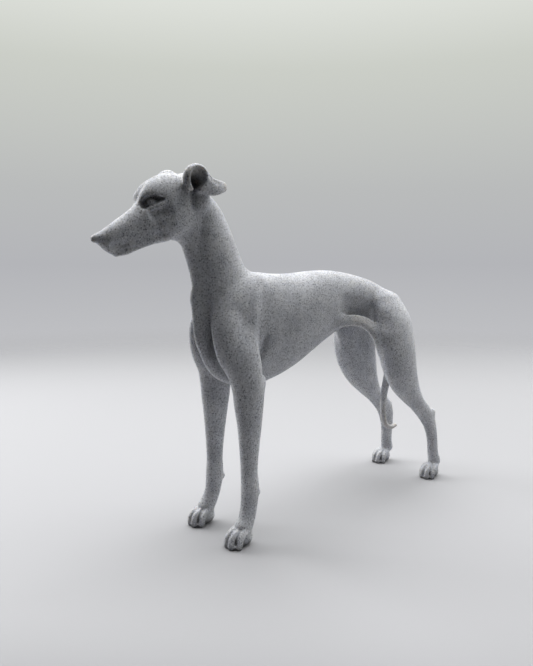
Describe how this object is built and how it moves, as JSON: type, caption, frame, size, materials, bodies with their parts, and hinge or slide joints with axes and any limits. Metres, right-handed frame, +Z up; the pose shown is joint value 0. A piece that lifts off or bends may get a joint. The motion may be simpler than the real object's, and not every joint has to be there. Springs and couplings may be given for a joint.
{
  "type": "whippet figurine",
  "caption": "Standing whippet figurine with folded rose ears and a tail curling at its tip, printed in speckled grey marble-effect plastic.",
  "frame": {"origin": "on the standing plane, below the middle of the figure's bounding box", "axes": "+Z up, +Y from the nose towards the tail, +X towards the whippet's left side"},
  "size_m": [0.0424, 0.1846, 0.1482],
  "materials": {
    "marble_plastic": "pale grey marble-effect printed plastic with fine dark specks"
  },
  "bodies": {
    "root": {"whippet": "marble_plastic"}
  },
  "joints": []
}
